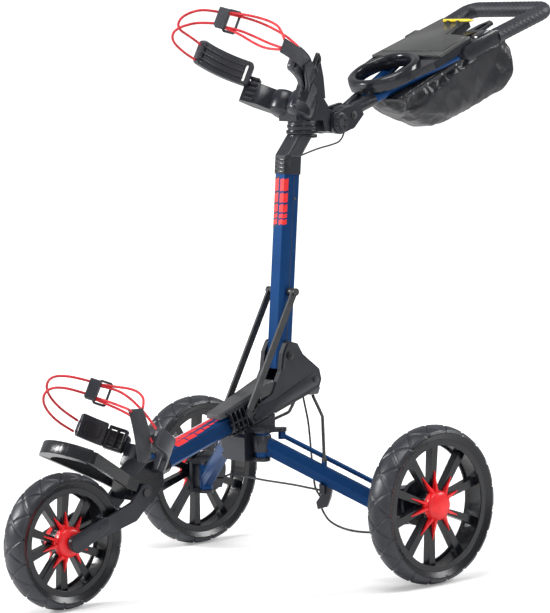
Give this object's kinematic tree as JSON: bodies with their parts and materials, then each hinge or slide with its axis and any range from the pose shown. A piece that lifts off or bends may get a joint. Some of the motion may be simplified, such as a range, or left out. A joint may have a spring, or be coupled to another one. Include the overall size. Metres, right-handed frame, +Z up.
{
  "type": "golf push cart",
  "caption": "Folding golf push cart with bag cradles and straps, ribbed wheels with thick soft tyres, a loop handle, and a console with lid, cup holder and pencil.",
  "frame": {"origin": "middle of the cart's length and width, on the floor that the wheels stand on", "axes": "+Z up, the cart rolls toward -Y, +X is the cart's left side"},
  "size_m": [0.702, 1.3062, 1.0536],
  "materials": {
    "blue_metal": "satin blue painted aluminium",
    "charcoal_plastic": "fine-grained matte",
    "grey_plastic": "fine-grained matte",
    "rim_black": "smooth matte",
    "tyre": "airless foam tyre with diamond tread",
    "steel": "zinc plated",
    "black_metal": "black powder coat",
    "grip": "soft foam with stitched diamond pattern",
    "elastic_cord": "woven red elastic cord",
    "webbing": "fine woven strap with rubber edge",
    "nylon": "shiny wrinkled nylon",
    "console_grey": "glossy grey",
    "cable": "smooth cable sheath",
    "pencil_wood": "yellow lacquer"
  },
  "bodies": {
    "chassis": {"front_tube": "blue_metal", "hub_housing": "charcoal_plastic", "hub_rail": "grey_plastic", "hub_cover": "grey_plastic", "mast_pin": "steel", "leg_yoke": "charcoal_plastic", "hub_pins": "steel", "front_block": "charcoal_plastic", "fork_pin": "steel", "cradle_platform": "charcoal_plastic", "lower_pad_left": "charcoal_plastic", "lower_pad_right": "charcoal_plastic", "lower_strap": "webbing", "lower_cords": "elastic_cord", "lower_buckle": "charcoal_plastic", "brake_cable_main": "cable", "brake_wire": "steel"},
    "fork": {"fork": "charcoal_plastic", "front_axle": "steel"},
    "front_wheel": {"front_rim": "rim_black", "front_tyre": "tyre"},
    "mast": {"mast_tube": "blue_metal", "mast_collar": "grey_plastic", "neck": "grey_plastic", "cradle_head": "charcoal_plastic", "upper_arm_left": "charcoal_plastic", "upper_arm_right": "charcoal_plastic", "upper_pad_left": "charcoal_plastic", "upper_pad_right": "charcoal_plastic", "upper_strap": "webbing", "upper_cords": "elastic_cord", "upper_buckle": "charcoal_plastic", "handle_pin": "steel", "bar_bolts": "steel", "handle_cable": "cable"},
    "link_bar_left": {"link_bar_left": "black_metal"},
    "link_bar_right": {"link_bar_right": "black_metal"},
    "handle": {"handle_yoke": "charcoal_plastic", "handle_tube": "blue_metal", "handle_grip": "grip", "console_tray": "charcoal_plastic", "accessory_bag": "nylon"},
    "lid": {"console_lid": "console_grey"},
    "pencil": {"pencil": "pencil_wood"},
    "lever": {"brake_lever": "charcoal_plastic"},
    "leg_left": {"leg_left": "blue_metal", "cable_yoke": "charcoal_plastic", "brake_cable_left": "cable"},
    "leg_right": {"leg_right": "blue_metal"},
    "leg_strut_left": {"leg_strut_left": "black_metal"},
    "leg_strut_right": {"leg_strut_right": "black_metal"},
    "leg_rod_left": {"leg_rod_left": "blue_metal"},
    "leg_rod_right": {"leg_rod_right": "blue_metal"},
    "wheel_carrier_left": {"wheel_carrier_left": "charcoal_plastic"},
    "wheel_carrier_right": {"wheel_carrier_right": "charcoal_plastic"},
    "rear_wheel_left": {"rear_left_rim": "rim_black", "rear_left_tyre": "tyre"},
    "rear_wheel_right": {"rear_right_rim": "rim_black", "rear_right_tyre": "tyre"}
  },
  "joints": [
    {"name": "mast_fold", "type": "hinge", "parent": "chassis", "child": "mast", "pos_m": [0, -0.00314, 0.404], "axis": [1, 0, 0], "range_deg": [0, 85]},
    {"name": "handle_fold", "type": "hinge", "parent": "mast", "child": "handle", "pos_m": [0, 0.13786, 0.831], "axis": [1, 0, 0], "range_deg": [-100, 20], "deforming": ["handle_cable"]},
    {"name": "console_lid_hinge", "type": "hinge", "parent": "handle", "child": "lid", "pos_m": [0, 0.50222, 1.01635], "axis": [1, 0, 0], "range_deg": [-95, 0]},
    {"name": "pencil_slide", "type": "slide", "parent": "lid", "child": "pencil", "axis": [1, 0, 0], "range_m": [0, 0.04]},
    {"name": "brake_lever_pivot", "type": "hinge", "parent": "handle", "child": "lever", "pos_m": [0.048, 0.45699, 0.9849], "axis": [0, -0.3971, 0.9178], "range_deg": [0, 14], "stiffness_Nm_per_rad": 0.4},
    {"name": "fork_fold", "type": "hinge", "parent": "chassis", "child": "fork", "pos_m": [0, -0.36914, 0.192], "axis": [1, 0, 0], "range_deg": [0, 115]},
    {"name": "front_wheel_spin", "type": "hinge", "parent": "fork", "child": "front_wheel", "pos_m": [0, -0.53114, 0.122], "axis": [1, 0, 0], "continuous": true},
    {"name": "link_bar_left_pivot", "type": "hinge", "parent": "mast", "child": "link_bar_left", "pos_m": [0.033, 0.00744, 0.52253], "axis": [1, 0, 0], "range_deg": [-101, 0]},
    {"name": "leg_left_fold", "type": "hinge", "parent": "chassis", "child": "leg_left", "pos_m": [0.045, -0.09214, 0.251], "axis": [0, 0, 1], "range_deg": [-100.1, 0], "deforming": ["brake_cable_left", "brake_wire"]},
    {"name": "leg_rod_left_fold", "type": "hinge", "parent": "chassis", "child": "leg_rod_left", "pos_m": [0.05868, -0.05455, 0.263], "axis": [0, 0, 1], "range_deg": [-100.1, 0]},
    {"name": "wheel_carrier_left_swing", "type": "hinge", "parent": "leg_left", "child": "wheel_carrier_left", "pos_m": [0.252, 0.02931, 0.136], "axis": [0, 0, 1], "range_deg": [0, 100.1], "deforming": ["brake_cable_left", "brake_wire"]},
    {"name": "leg_strut_left_pivot", "type": "hinge", "parent": "leg_left", "child": "leg_strut_left", "pos_m": [0.14738, -0.03207, 0.222], "axis": [0, 0, 1], "range_deg": [0, 56.2]},
    {"name": "rear_wheel_left_spin", "type": "hinge", "parent": "wheel_carrier_left", "child": "rear_wheel_left", "pos_m": [0.323, 0.06786, 0.146], "axis": [1, 0, 0], "continuous": true},
    {"name": "link_bar_right_pivot", "type": "hinge", "parent": "mast", "child": "link_bar_right", "pos_m": [-0.033, 0.00744, 0.52253], "axis": [1, 0, 0], "range_deg": [-101, 0]},
    {"name": "leg_right_fold", "type": "hinge", "parent": "chassis", "child": "leg_right", "pos_m": [-0.045, -0.09214, 0.251], "axis": [0, 0, 1], "range_deg": [0, 100.1], "deforming": ["brake_wire"]},
    {"name": "leg_rod_right_fold", "type": "hinge", "parent": "chassis", "child": "leg_rod_right", "pos_m": [-0.05868, -0.05455, 0.263], "axis": [0, 0, 1], "range_deg": [0, 100.1]},
    {"name": "wheel_carrier_right_swing", "type": "hinge", "parent": "leg_right", "child": "wheel_carrier_right", "pos_m": [-0.252, 0.02931, 0.136], "axis": [0, 0, 1], "range_deg": [-100.1, 0], "deforming": ["brake_wire"]},
    {"name": "leg_strut_right_pivot", "type": "hinge", "parent": "leg_right", "child": "leg_strut_right", "pos_m": [-0.14738, -0.03207, 0.222], "axis": [0, 0, 1], "range_deg": [-56.2, 0]},
    {"name": "rear_wheel_right_spin", "type": "hinge", "parent": "wheel_carrier_right", "child": "rear_wheel_right", "pos_m": [-0.323, 0.06786, 0.146], "axis": [1, 0, 0], "continuous": true}
  ],
  "couplings": [
    {"joint": "link_bar_left_pivot", "follows": "mast_fold", "ratio": -1.1847},
    {"joint": "link_bar_right_pivot", "follows": "mast_fold", "ratio": -1.1847},
    {"joint": "leg_left_fold", "follows": "mast_fold", "ratio": -1.1765},
    {"joint": "leg_right_fold", "follows": "mast_fold", "ratio": 1.1765},
    {"joint": "leg_rod_left_fold", "follows": "mast_fold", "ratio": -1.1765},
    {"joint": "leg_rod_right_fold", "follows": "mast_fold", "ratio": 1.1765},
    {"joint": "wheel_carrier_left_swing", "follows": "mast_fold", "ratio": 1.1765},
    {"joint": "wheel_carrier_right_swing", "follows": "mast_fold", "ratio": -1.1765},
    {"joint": "leg_strut_left_pivot", "follows": "mast_fold", "ratio": 0.66},
    {"joint": "leg_strut_right_pivot", "follows": "mast_fold", "ratio": -0.66}
  ]
}
